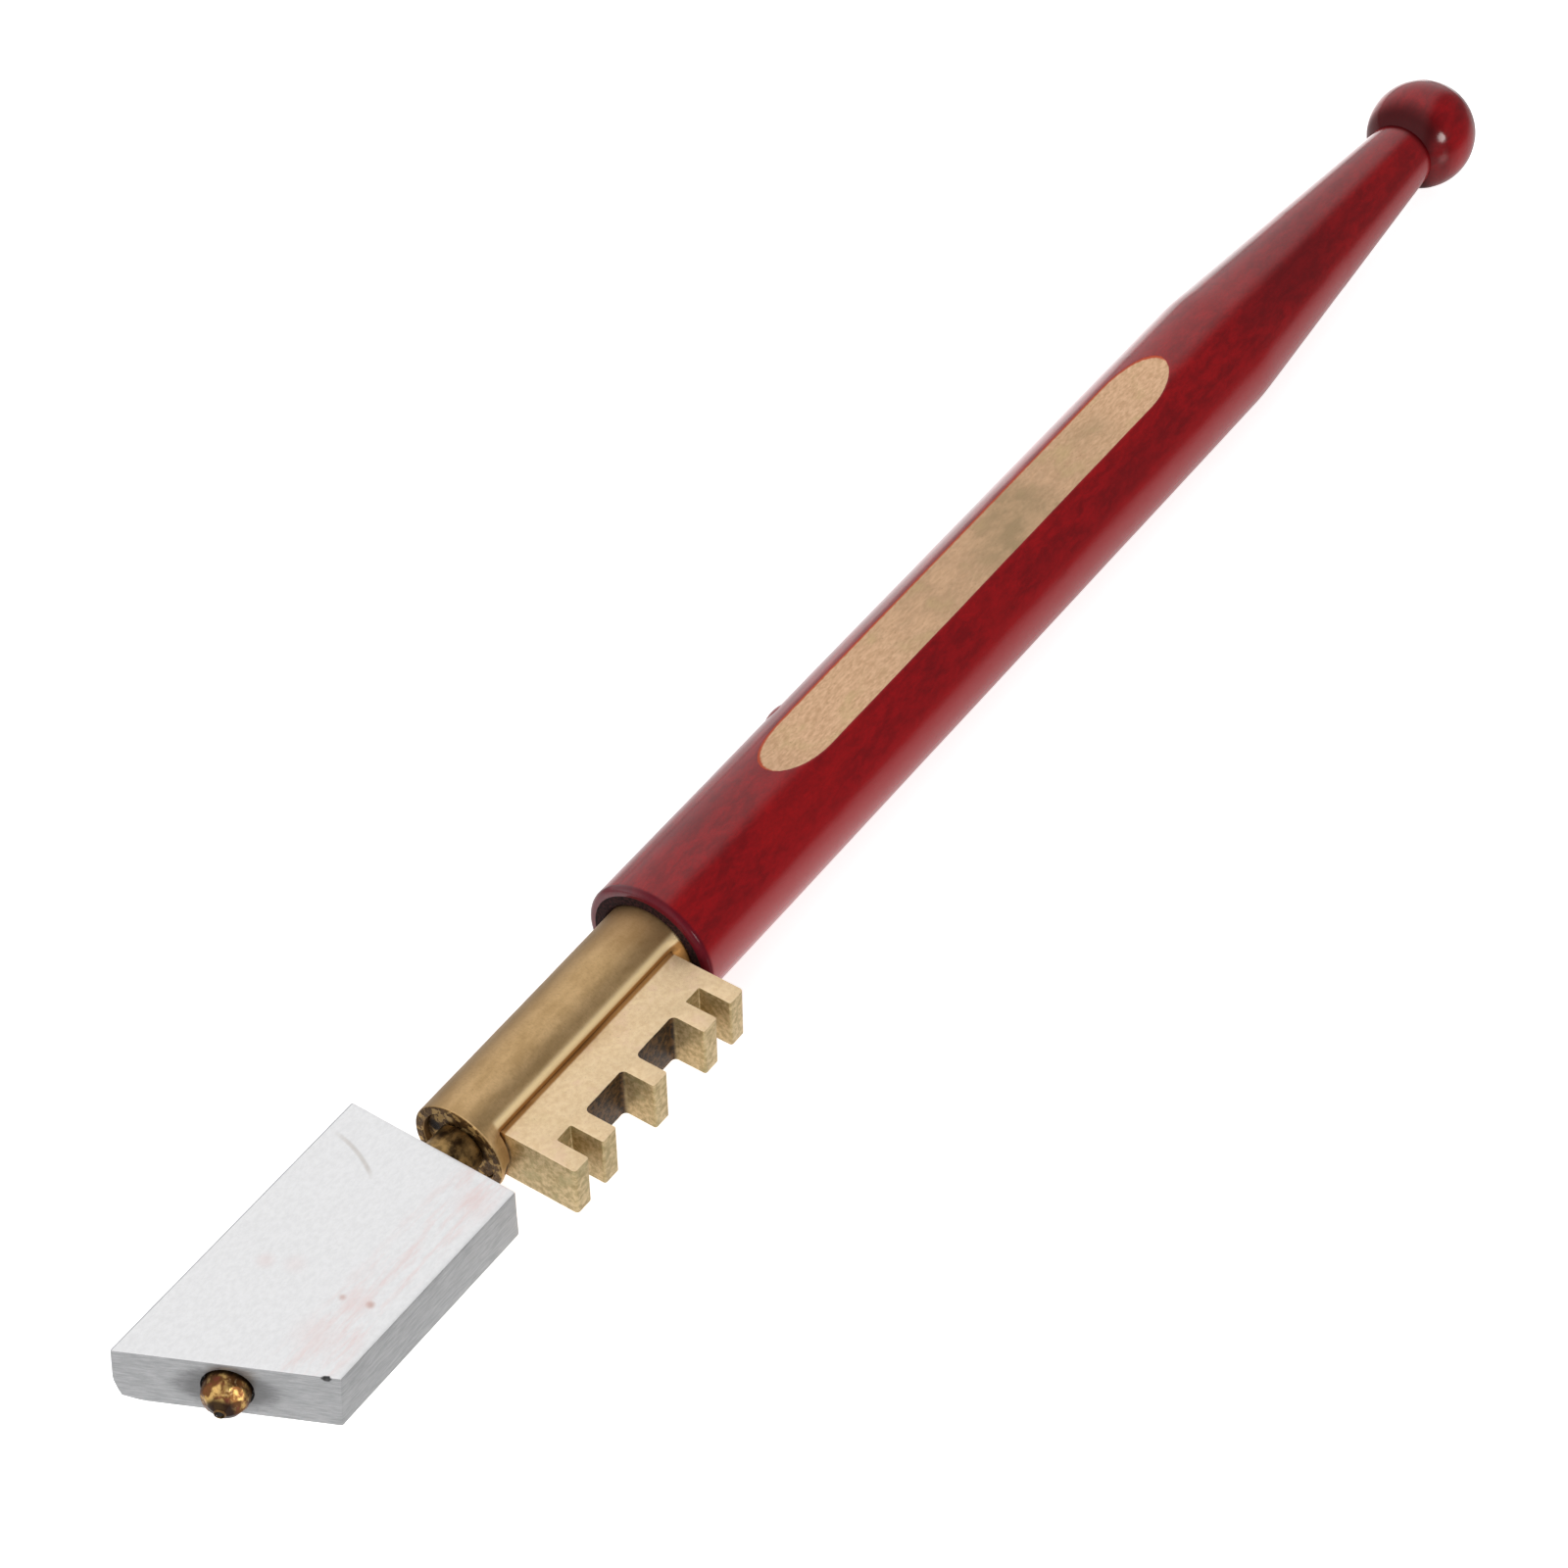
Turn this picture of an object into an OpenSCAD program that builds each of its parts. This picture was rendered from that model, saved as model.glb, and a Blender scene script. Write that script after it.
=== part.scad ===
// Diamond glass cutter: a turned wooden handle with a ball end, a brass stem with a notched
// breaker plate brazed into its side, and an aluminium head block that swivels on a pin in the
// stem and carries a diamond in a brass holder.
// The tool axis is X: the head is at -X and the ball at +X. The breaker plate points to -Y,
// and Z is square to the plate. The origin is on the tool axis, halfway along the straight dowel.

/* [Handle] */
// Diameter of the straight dowel
dowel_d = 12; // [10:0.5:14]
// Length of the straight dowel
dowel_len = 88; // [76:1:100]
// Length of the taper from the dowel to the ball
taper_len = 35; // [25:1:45]
// Diameter of the neck where the taper meets the ball
neck_d = 6.6; // [5:0.2:8]
// Diameter of the ball
ball_d = 10.4; // [9:0.2:12]
// Radius of the rounded edge round the handle's front face
front_round = 0.7; // [0.3:0.1:1.2]

/* [Thumb flat] */
// Distance from the handle's front face to the flat
flat_start = 16.8; // [10:0.1:20]
// Overall length of the flat
flat_len = 62; // [40:0.5:66]
// Depth of the flat below the round of the dowel
flat_depth = 0.6; // [0.3:0.05:0.9]
// Radius that the cutter leaves at both ends of the flat
flat_end_r = 30; // [15:1:60]
// Turn of the flat about the tool axis, towards +Y, in degrees
flat_turn = 3; // [-10:1:10]

/* [Stem] */
// Outer diameter of the brass tube
stem_d = 8.4; // [8:0.1:9]
// Wall of the brass tube
stem_wall = 0.8; // [0.6:0.1:1]
// Length of the stem that shows in front of the handle
stem_reach = 24.9; // [24.5:0.1:30]
// Length of the tube inside the handle
tang_len = 30; // [27:1:40]
// Distance from the handle's front face to the locking pin
tang_pin_at = 25; // [20:0.5:26]

/* [Breaker plate] */
// Thickness of the plate
plate_t = 5; // [4:0.1:5.2]
// Distance from the tool axis to the tips of the teeth
plate_reach = 10.15; // [9:0.05:12]
// Distance from the front end of the stem to the plate
plate_front = 1.6; // [1:0.1:2]
// Width of each of the five teeth
tooth_w = 1.75; // [1.5:0.05:1.8]
// Width of the narrow notch at each end
narrow_notch = 1.8; // [1.5:0.05:2]
// Width of the two wide notches in the middle
wide_notch = 4.9; // [4.5:0.05:5]
// Depth of every notch
notch_depth = 3.05; // [2.5:0.05:3.5]

/* [Head block] */
// Width of the block
block_w = 15.7; // [14:0.1:17]
// Thickness of the block
block_t = 5.2; // [5:0.1:6]
// Length of the block's longer side, at +Y
block_long = 28.5; // [27:0.5:32]
// Length of the block's shorter side, at -Y
block_short = 21; // [19:0.5:23]
// Distance of the block's middle from the tool axis, towards +Y
block_offset = 0.3; // [0:0.1:0.5]
// Open gap between the stem and the block
swivel_gap = 2.45; // [1.5:0.05:3]

/* [Diamond] */
// Diameter of the brass holder's head
holder_d = 3.7; // [3.2:0.1:4.2]
// Distance from the block's slanted face to the end of the holder
holder_reach = 2.5; // [2.2:0.05:3]
// Distance from the middle of the diamond to its points
diamond_r = 0.36; // [0.3:0.02:0.36]

/* [Hidden] */
$fn = 96;
cut = 0.5;                  // how far a cutting shape runs past the face that it opens
fit_gap = 0.02;             // radial gap of pressed, brazed and glued joints
run_gap = 0.05;             // radial gap of the swivel's bearing
end_play = 0.1;             // axial gap at each end of the swivel's bearing

dowel_r = dowel_d / 2;
neck_r = neck_d / 2;
ball_r = ball_d / 2;
stem_r = stem_d / 2;
neck_to_ball = sqrt(ball_r * ball_r - neck_r * neck_r);

// Stations along the tool axis, from the head to the ball
handle_front_x = -dowel_len / 2;
stem_end_x = handle_front_x - stem_reach;
block_back_x = stem_end_x - swivel_gap;
ball_x = dowel_len / 2 + taper_len + neck_to_ball;

// Stem and the bush that fills its front end
tube_in_r = stem_r - stem_wall;
bush_recess = 0.5;          // how far the bush lies inside the tube's end
bush_x = stem_end_x + bush_recess;
bush_len = 24;
bearing_len = 8;
chamber_r = 2.4;            // room behind the bearing for the washer
drill_tip_len = 2.4;        // cone at the bottom of the handle's bore
drill_tip_r = 0.2;
turned_from = 37.5 - flat_turn; // where the turned surface starts and ends, well away from the flat

// Breaker plate, which sits in a slot in the tube
plate_x = stem_end_x + plate_front;
plate_root = 2.9;           // distance from the tool axis to the plate's root
plate_len = 5 * tooth_w + 2 * narrow_notch + 2 * wide_notch;
slot_gap = 0.15;            // groove left on each side of the plate
notch_round = 0.5;          // radius in the corners of the wide notches
narrow_round = 0.15;

// Swivel pin, which is pressed into the block and runs in the bush
spigot_r = 1.5;
spigot_len = 7;
spigot_lead = 0.3;          // chamfer on a pressed-in end
collar_r = 2.1;
journal_r = 1.6;
tail_r = 1.3;
washer_r = 2.1;
washer_t = 0.8;
button_r = 1.8;             // the peened end behind the washer
button_len = 0.6;
collar_len = swivel_gap + bush_recess - end_play;
washer_x = bush_x + bearing_len + end_play;

// Locking pin through the wood and the tube
brad_turn = 60;             // its direction about the tool axis, from +Z towards +Y
brad_r = 0.75;
brad_head_r = 1;
brad_head_sink = 0.4;       // its head is flush with the dowel
brad_inner = 2.5;           // distance from the tool axis to its point
brad_point = 1;             // length of its point

// Slanted front face of the block and what it holds
slant = atan2(block_long - block_short, block_w);
slant_x = block_back_x - (block_long + block_short) / 2;
shank_r = 1.5;
shank_len = 5;
seat_gap = 0.2;             // radial gap round the holder's head in its counterbore
seat_depth = 0.5;
blind_gap = 0.2;            // space left below a pressed-in end
holder_r = holder_d / 2;
holder_rim = 0.9;           // height of the holder's straight rim above the face
holder_tip_r = 0.5;
socket_r = 0.38;
socket_depth = 0.45;
braze_h = 0.12;
braze_r = 0.49;

module along_x(x) translate([x, 0, 0]) rotate([0, 90, 0]) children();

// Turned shape from points of [distance along the axis, radius]
module turned(points) rotate_extrude() polygon([for (p = points) [p[1], p[0]]]);

module on_brad() translate([handle_front_x + tang_pin_at, 0, 0]) rotate([-brad_turn, 0, 0]) children();

// Puts Z along the outward normal of the block's slanted face, at the face's middle
module on_slant() translate([slant_x, block_offset, 0]) rotate([0, 0, slant]) rotate([0, -90, 0]) children();

module flat_cutter() {
    run_out = sqrt(2 * flat_end_r * flat_depth - flat_depth * flat_depth);
    x0 = handle_front_x + flat_start + run_out;
    x1 = handle_front_x + flat_start + flat_len - run_out;
    z0 = dowel_r - flat_depth;
    rotate([90 - flat_turn, 0, 0]) linear_extrude(height = dowel_d, center = true) {
        translate([x0, z0 + flat_end_r]) circle(r = flat_end_r);
        translate([x1, z0 + flat_end_r]) circle(r = flat_end_r);
        translate([x0, z0]) square([x1 - x0, flat_end_r]);
    }
}

module handle() color("firebrick") difference() {
    union() {
        along_x(handle_front_x) rotate([0, 0, turned_from]) turned([
            [0, 0],
            for (a = [0:15:90]) [front_round * (1 - cos(a)), dowel_r - front_round * (1 - sin(a))],
            [dowel_len, dowel_r],
            [dowel_len + taper_len, neck_r],
            [dowel_len + taper_len + neck_to_ball, neck_r],
            [dowel_len + taper_len + neck_to_ball, 0]]);
        translate([ball_x, 0, 0]) sphere(r = ball_r);
    }
    along_x(handle_front_x - cut) cylinder(r = stem_r + fit_gap, h = tang_len + cut);
    along_x(handle_front_x + tang_len) cylinder(r1 = stem_r + fit_gap, r2 = drill_tip_r, h = drill_tip_len);
    flat_cutter();
    on_brad() cylinder(r = brad_r, h = dowel_d);
    on_brad() translate([0, 0, dowel_r - brad_head_sink]) cylinder(r = brad_head_r, h = dowel_r);
}

module stem_tube() color("peru") difference() {
    along_x(stem_end_x) cylinder(r = stem_r, h = stem_reach + tang_len);
    along_x(stem_end_x - cut) cylinder(r = tube_in_r, h = stem_reach + tang_len + 2 * cut);
    translate([plate_x - slot_gap, -stem_d, -plate_t / 2 - slot_gap])
        cube([plate_len + 2 * slot_gap, stem_d, plate_t + 2 * slot_gap]);
    on_brad() cylinder(r = brad_r, h = dowel_d);
}

module swivel_bush() color("saddlebrown") difference() {
    along_x(bush_x) cylinder(r = tube_in_r - fit_gap, h = bush_len);
    along_x(bush_x - cut) cylinder(r = journal_r + run_gap, h = bearing_len + 2 * cut);
    along_x(bush_x + bearing_len) cylinder(r = chamber_r, h = bush_len);
    translate([plate_x - slot_gap, -stem_d, -stem_r])
        cube([plate_len + 2 * slot_gap, stem_d - plate_root, stem_d]);
}

module tang_pin() color("firebrick") on_brad() {
    shank_top = dowel_r - brad_head_sink;
    translate([0, 0, brad_inner]) cylinder(r1 = brad_r / 4, r2 = brad_r - fit_gap, h = brad_point);
    translate([0, 0, brad_inner + brad_point])
        cylinder(r = brad_r - fit_gap, h = shank_top - brad_inner - brad_point);
    translate([0, 0, shank_top]) cylinder(r = brad_head_r - fit_gap, h = brad_head_sink);
}

// Start of notch i along the plate: the order is narrow, wide, wide, narrow
function notch_x(i) = (i + 1) * tooth_w + (i > 0 ? narrow_notch + (i - 1) * wide_notch : 0);

// A notch open at y = 0, with rounded inner corners
module notch(w, r) {
    translate([0, -cut]) square([w, notch_depth - r + cut]);
    translate([r, 0]) square([w - 2 * r, notch_depth]);
    for (x = [r, w - r]) translate([x, notch_depth - r]) circle(r = r);
}

module breaker_plate() color("burlywood")
    translate([plate_x, -plate_reach, -plate_t / 2]) linear_extrude(height = plate_t) difference() {
        square([plate_len, plate_reach - plate_root]);
        for (i = [0, 3]) translate([notch_x(i), 0]) notch(narrow_notch, narrow_round);
        for (i = [1, 2]) translate([notch_x(i), 0]) notch(wide_notch, notch_round);
    }

module swivel_pin() color("tan") {
    journal_end = collar_len + bearing_len + 2 * end_play;
    washer_end = journal_end + washer_t;
    along_x(block_back_x) turned([
        [-spigot_len, 0],
        [-spigot_len, spigot_r - spigot_lead],
        [spigot_lead - spigot_len, spigot_r - fit_gap],
        [0, spigot_r - fit_gap],
        [0, collar_r],
        [collar_len, collar_r],
        [collar_len, journal_r],
        [journal_end, journal_r],
        [journal_end, tail_r],
        [washer_end, tail_r],
        [washer_end, button_r],
        [washer_end + button_len / 2, button_r],
        [washer_end + button_len, button_r / 2],
        [washer_end + button_len, 0]]);
}

module retaining_washer() color("silver") difference() {
    along_x(washer_x) cylinder(r = washer_r, h = washer_t);
    along_x(washer_x - cut) cylinder(r = tail_r + fit_gap, h = washer_t + 2 * cut);
}

module head_block() color("gainsboro") difference() {
    translate([block_back_x, block_offset - block_w / 2, -block_t / 2]) linear_extrude(height = block_t)
        polygon([[0, 0], [0, block_w], [-block_long, block_w], [-block_short, 0]]);
    along_x(block_back_x - spigot_len - blind_gap) cylinder(r = spigot_r, h = spigot_len + blind_gap + cut);
    on_slant() {
        translate([0, 0, -shank_len - blind_gap]) cylinder(r = shank_r, h = shank_len + blind_gap + cut);
        translate([0, 0, -seat_depth]) cylinder(r = holder_r + seat_gap, h = seat_depth + cut);
    }
}

module diamond_holder() color("goldenrod") on_slant() difference() {
    nose_len = holder_reach - holder_rim;
    turned([
        [-shank_len, 0],
        [-shank_len, shank_r - spigot_lead],
        [spigot_lead - shank_len, shank_r - fit_gap],
        [-seat_depth, shank_r - fit_gap],
        [-seat_depth, holder_r],
        for (s = [0:0.125:1]) [holder_rim + s * nose_len, holder_r - (holder_r - holder_tip_r) * s * s],
        [holder_reach, 0]]);
    translate([0, 0, holder_reach - socket_depth]) cylinder(r = socket_r, h = socket_depth + cut);
}

module diamond() color("black") on_slant() translate([0, 0, holder_reach]) polyhedron(
    points = diamond_r * [[0, 0, 1], [0, 0, -1], [1, 0, 0], [0, 1, 0], [-1, 0, 0], [0, -1, 0]],
    faces = [[0, 3, 2], [0, 4, 3], [0, 5, 4], [0, 2, 5], [1, 2, 3], [1, 3, 4], [1, 4, 5], [1, 5, 2]]);

module diamond_braze() color("dimgray") on_slant() translate([0, 0, holder_reach]) difference() {
    cylinder(r1 = braze_r, r2 = socket_r + braze_h / 3, h = braze_h);
    translate([0, 0, -cut]) cylinder(r = socket_r, h = 2 * cut);
}

handle();
stem_tube();
swivel_bush();
tang_pin();
breaker_plate();
swivel_pin();
retaining_washer();
head_block();
diamond_holder();
diamond();
diamond_braze();
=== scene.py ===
import math

import bmesh
import bpy
import numpy as np
from mathutils import Matrix, Vector, noise


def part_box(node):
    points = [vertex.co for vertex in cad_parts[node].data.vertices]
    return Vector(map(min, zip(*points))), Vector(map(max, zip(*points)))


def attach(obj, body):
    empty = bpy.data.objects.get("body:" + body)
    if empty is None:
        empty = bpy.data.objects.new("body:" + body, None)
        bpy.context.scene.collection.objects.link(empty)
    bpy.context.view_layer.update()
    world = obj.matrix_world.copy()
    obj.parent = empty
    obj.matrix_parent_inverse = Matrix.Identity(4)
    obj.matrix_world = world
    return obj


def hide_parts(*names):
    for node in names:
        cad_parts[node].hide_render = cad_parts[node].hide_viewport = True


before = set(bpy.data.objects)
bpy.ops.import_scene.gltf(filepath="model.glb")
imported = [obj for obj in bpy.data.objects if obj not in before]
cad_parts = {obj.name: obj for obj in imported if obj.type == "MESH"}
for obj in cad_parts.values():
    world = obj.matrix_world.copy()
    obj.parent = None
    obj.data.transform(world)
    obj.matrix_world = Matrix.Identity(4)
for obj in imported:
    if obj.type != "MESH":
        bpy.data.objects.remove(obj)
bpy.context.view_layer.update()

# The looks of the glass cutter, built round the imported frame. Lengths are in millimetres and
# become metres when a mesh is made. The tool axis is X, with the head at -X and the ball at +X.

MM = 0.001


# ---- sizes, from the frame

def box_mm(node):
    """Lower and upper corner of a CAD node, in millimetres."""
    low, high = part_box(node)
    return low / MM, high / MM


HANDLE_LOW, HANDLE_HIGH = box_mm("handle")
STEM_LOW, STEM_HIGH = box_mm("stem_tube")
BUSH_LOW, BUSH_HIGH = box_mm("swivel_bush")
PLATE_LOW, PLATE_HIGH = box_mm("breaker_plate")
PIN_HIGH = box_mm("swivel_pin")[1]
BLOCK_LOW, BLOCK_HIGH = box_mm("head_block")

# Handle
DOWEL_R = HANDLE_HIGH.y
FRONT_X = HANDLE_LOW.x
DOWEL_END_X = -FRONT_X
BALL_R = 5.2
BALL_X = HANDLE_HIGH.x - BALL_R
NECK_R = 3.3
NECK_X = BALL_X - math.sqrt(BALL_R ** 2 - NECK_R ** 2)
FRONT_ROUND = 0.5
TANG_DEPTH = 8  # how far the bore is modelled behind the handle's front face
DARK_END_R = 5.3  # the front face is painted near-black inside this radius, as painted shade
FLAT_DEPTH = 0.6
FLAT_FROM, FLAT_TO = -27.2, 34.8
FLAT_END_R = 30
FLAT_TURN = math.radians(3)  # from +Z towards +Y
BORE_GAP = 0.02  # between the stem and the bore's wall
BORE_LEAD = 0.2  # chamfer of the bore's mouth
SHOULDER_EASE = 1.2  # half length over which the dowel bends into the taper
ROUND_SEGMENTS, FLAT_SEGMENTS = 176, 16

# The brad through the handle and the tang, of which only the lacquered head shows
BRAD_R, BRAD_RISE, BRAD_SINK = 1, 0.16, 0.02
BRAD_SKIRT = 0.05  # how much deeper the head's rim goes into the wood
BRAD_X = FRONT_X + 25
BRAD_TURN = math.radians(60)  # from +Z towards +Y

# Stem and bush
STEM_R = STEM_HIGH.y
STEM_BORE_R = BUSH_HIGH.z + 0.02
STEM_LEAD = 0.12
STEM_END_X = STEM_LOW.x
STEM_SHOWN_TO = FRONT_X + TANG_DEPTH
BUSH_X = BUSH_LOW.x
BUSH_R = BUSH_HIGH.z
BUSH_HOLE_R = 1.65
BUSH_LEAD = 0.15
BUSH_SHOWN = 6  # how far into the stem the bush is modelled

# The stem's lips roll in towards the plate's slot. Angles are from +Z or -Z towards -Y.
LIP_FROM, LIP_TO = math.radians(36), math.radians(54)
LIP_BEND = 0.216  # roll in per square millimetre of run
LIP_RUN_OUT = 0.9  # length over which the roll fades towards both ends of the stem

# Breaker plate
TOOTH, NARROW, WIDE = 1.75, 1.8, 4.9
NOTCHES = (  # (distance from the plate's front end, width)
    (TOOTH, NARROW), (2 * TOOTH + NARROW, WIDE),
    (3 * TOOTH + NARROW + WIDE, WIDE), (4 * TOOTH + NARROW + 2 * WIDE, NARROW),
)
NOTCH_DEPTH = 3.05
SLOT_GAP = 0.15
LIP_GAP = 0.04  # between the plate's faces and the stem's lips
TIP_R, TOOTH_R, WIDE_FLOOR_R, NARROW_FLOOR_R, ROOT_R = 0.28, 0.22, 0.45, 0.14, 0.02
PLATE_LEAD = 0.11
# Y of the line where the plate comes out of the stem
ROOT_LINE_Y = -math.sqrt(STEM_R ** 2 - (PLATE_HIGH.z + SLOT_GAP) ** 2) - 0.18

# Swivel pin
COLLAR_R = PIN_HIGH.y
COLLAR_LONG = 2.85
COLLAR_LEAD = 0.1
PIN_R = 1.6

# Block
BLOCK_LONG = BLOCK_HIGH.x - BLOCK_LOW.x
BLOCK_SHORT = 21
EDGE_R, EDGE_WEAR = 0.12, 0.025
BATTERED_R, BATTERED_REACH = 0.75, 2.2  # the lower front corner at +Y
SAW_LEAN = 0.5  # how much further forward the saw came out below than above
SLANT = math.atan2(BLOCK_LONG - BLOCK_SHORT, BLOCK_HIGH.y - BLOCK_LOW.y)
FACE_MIDDLE = Vector((BLOCK_HIGH.x - (BLOCK_LONG + BLOCK_SHORT) / 2, (BLOCK_LOW.y + BLOCK_HIGH.y) / 2, 0))
FACE_NORMAL = Vector((-math.cos(SLANT), -math.sin(SLANT), 0))
FACE_ALONG = Vector((-FACE_NORMAL.y, FACE_NORMAL.x, 0))

# The nick in the slanted face's upper edge, near the -Y corner: the bite's corners as (along the
# edge, out of the face, up) and its dark spots as (along the edge, down, size)
NICK = Vector((-92.84, -6.57, BLOCK_HIGH.z))
NICK_BITE = (
    (-0.42, 0.3, 0.2), (0.4, 0.3, 0.2), (-0.24, 0.3, -0.52), (0.2, 0.3, -0.42),
    (-0.36, -0.16, 0.2), (0.3, -0.24, 0.2), (-0.12, -0.14, -0.26), (0.16, -0.16, -0.22),
)
NICK_SHADOW = ((-0.3, 0.16, 0.06), (-0.1, 0.22, 0.14), (0.1, 0.22, 0.14), (0.28, 0.16, 0.04))

# Holder and diamond
HOLDER_R = 1.85
HOLDER_REACH = 2.5
HOLDER_RIM = 0.9
HOLDER_TIP_R = 0.5
HOLDER_MOUTH_R = 0.3  # where the braze fills the tip
HAMMERED_FLATS = 9
SEAT_DEPTH, SEAT_GAP = 0.5, 0.2


# ---- mesh helpers

def wave(point, size, seed=0):
    """Smooth noise from -1 to 1, with bumps about size millimetres wide."""
    return noise.noise(Vector(point) / size + Vector((seed, -seed, 2 * seed)))


def new_mesh(name, points, faces):
    """A mesh from points in millimetres."""
    mesh = bpy.data.meshes.new(name)
    mesh.from_pydata([tuple(c * MM for c in p) for p in points], [], faces)
    return mesh


def new_object(name, data):
    """A new object in the scene."""
    added = bpy.data.objects.new(name, data)
    bpy.context.scene.collection.objects.link(added)
    return added


def add_mesh(name, points, faces, materials, body, replaces, sharp_deg=30, face_slots=None):
    """A piece from points, riding on a CAD body and standing for CAD nodes."""
    mesh = new_mesh(name, points, faces)
    return finish_mesh(name, mesh, materials, body, replaces, sharp_deg, face_slots)


def finish_mesh(name, mesh, materials, body, replaces, sharp_deg, face_slots=None):
    """Cleans a mesh, gives it its materials and shading, and makes it a piece of the frame."""
    bm = bmesh.new()
    bm.from_mesh(mesh)
    bmesh.ops.remove_doubles(bm, verts=bm.verts, dist=1e-7)
    bmesh.ops.recalc_face_normals(bm, faces=bm.faces)
    bm.to_mesh(mesh)
    bm.free()
    for material in materials:
        mesh.materials.append(material)
    if face_slots:
        for polygon in mesh.polygons:
            polygon.material_index = face_slots(polygon.center / MM, polygon.normal)
    mesh.shade_smooth()
    mesh.set_sharp_from_angle(angle=math.radians(sharp_deg))
    piece = new_object(name, mesh)
    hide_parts(*replaces)
    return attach(piece, body)


def ring_faces(rings, count):
    """Quads between successive closed rings of count points each."""
    faces = []
    for i in range(rings - 1):
        for j in range(count):
            k = (j + 1) % count
            faces.append((i * count + j, i * count + k, (i + 1) * count + k, (i + 1) * count + j))
    return faces


def lathe(profile, segments, shape=None):
    """Points and faces of a profile of (x, radius) turned about X. shape may move each point."""
    points = []
    for x, r in profile:
        for j in range(segments):
            a = 2 * math.pi * j / segments
            p = Vector((x, r * math.sin(a), r * math.cos(a)))
            points.append(shape(p) if shape else p)
    return points, ring_faces(len(profile), segments)


def steps(start, end, size):
    """Evenly spaced values from start to end, about size apart, without the last."""
    count = max(1, round(abs(end - start) / size))
    return [start + (end - start) * i / count for i in range(count)]


def arc(centre_x, centre_r, radius, from_deg, to_deg, count):
    """Profile points on an arc; 0 degrees points to +X and 90 degrees away from the axis."""
    return [
        (centre_x + radius * math.cos(math.radians(a)), centre_r + radius * math.sin(math.radians(a)))
        for a in np.linspace(from_deg, to_deg, count)
    ]


# ---- materials

class Nodes:
    """Short calls for the nodes used here, in one node tree. Its coordinates are place."""

    def __init__(self, tree):
        self.tree = tree
        self.where = tree.nodes.new("ShaderNodeTexCoord")
        self.place = self.where.outputs["Generated"]

    def link(self, value, socket):
        """Links an output to a socket, or sets the socket to a plain value."""
        if isinstance(value, bpy.types.NodeSocket):
            self.tree.links.new(value, socket)
        elif isinstance(value, (tuple, list)) and len(value) == 3 and socket.type == "RGBA":
            socket.default_value = (*value, 1)
        else:
            socket.default_value = value

    def vector(self, operation, a, b=(0, 0, 0)):
        n = self.tree.nodes.new("ShaderNodeVectorMath")
        n.operation = operation
        self.link(a, n.inputs[0])
        self.link(b, n.inputs[1])
        return n.outputs["Value" if operation in ("DOT_PRODUCT", "LENGTH", "DISTANCE") else "Vector"]

    def math(self, operation, a, b=0):
        n = self.tree.nodes.new("ShaderNodeMath")
        n.operation = operation
        self.link(a, n.inputs[0])
        self.link(b, n.inputs[1])
        return n.outputs[0]

    def plus(self, a, b):
        return self.math("ADD", a, b)

    def minus(self, a, b):
        return self.math("SUBTRACT", a, b)

    def times(self, a, b):
        return self.math("MULTIPLY", a, b)

    def step(self, value, low, high, to_low=0, to_high=1):
        """value from low to high, eased to the range to_low to to_high."""
        n = self.tree.nodes.new("ShaderNodeMapRange")
        n.interpolation_type = "SMOOTHSTEP"
        self.link(value, n.inputs["Value"])
        for key, v in zip(("From Min", "From Max", "To Min", "To Max"), (low, high, to_low, to_high)):
            n.inputs[key].default_value = v
        return n.outputs["Result"]

    def axis(self, name, of=None):
        """One coordinate of the place, or of another vector."""
        n = self.tree.nodes.new("ShaderNodeSeparateXYZ")
        self.link(of or self.place, n.inputs[0])
        return n.outputs[name]


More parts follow.
